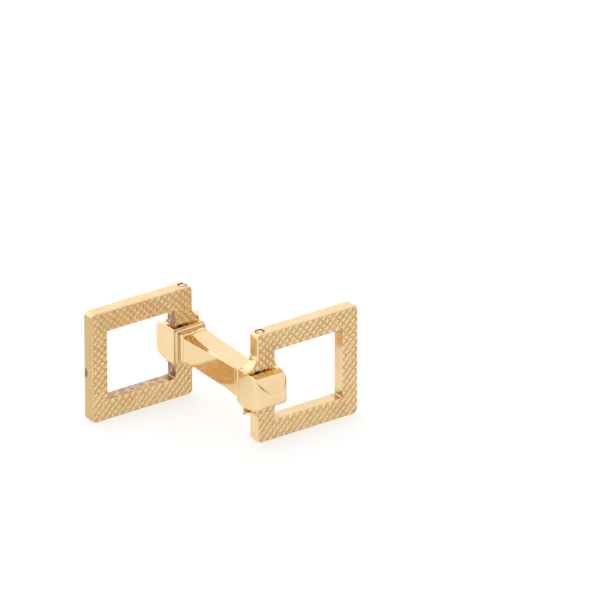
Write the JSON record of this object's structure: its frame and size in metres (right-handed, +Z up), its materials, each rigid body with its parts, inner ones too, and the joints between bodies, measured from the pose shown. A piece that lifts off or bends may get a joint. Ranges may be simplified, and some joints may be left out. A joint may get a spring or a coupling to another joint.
{
  "type": "cufflink",
  "caption": "Gold stirrup cufflink: square knurled frames with open windows swing on hinge pins at both ends of a square bar that passes through a shirt cuff.",
  "frame": {"origin": "centre of the bounding box, on the surface that the frames' lower edges stand on", "axes": "+X along the bar towards the front end, +Y the way the front frame reaches from its pin, +Z up along the hinge pins"},
  "size_m": [0.026, 0.0308, 0.016],
  "materials": {
    "knurled_gold": "cross-hatched knurl on both faces, polished edges",
    "polished_gold": "polished",
    "spring_steel": "bright"
  },
  "bodies": {
    "bar": {"bar": "polished_gold", "front_knuckle": "polished_gold", "front_detent_spring": "spring_steel", "front_collar": "polished_gold", "rear_knuckle": "polished_gold", "rear_detent_spring": "spring_steel", "rear_collar": "polished_gold"},
    "front_frame": {"front_frame": "knurled_gold", "front_hinge_pin": "polished_gold", "front_detent_cam": "polished_gold"},
    "rear_frame": {"rear_frame": "knurled_gold", "rear_hinge_pin": "polished_gold", "rear_detent_cam": "polished_gold"}
  },
  "joints": [
    {"name": "front_frame_swing", "type": "hinge", "parent": "bar", "child": "front_frame", "pos_m": [0.0089, 0, 0.008], "axis": [0, 0, -1], "range_deg": [0, 180], "deforming": ["front_detent_spring"]},
    {"name": "rear_frame_swing", "type": "hinge", "parent": "bar", "child": "rear_frame", "pos_m": [-0.0089, 0, 0.008], "axis": [0, 0, -1], "range_deg": [0, 180], "deforming": ["rear_detent_spring"]}
  ]
}
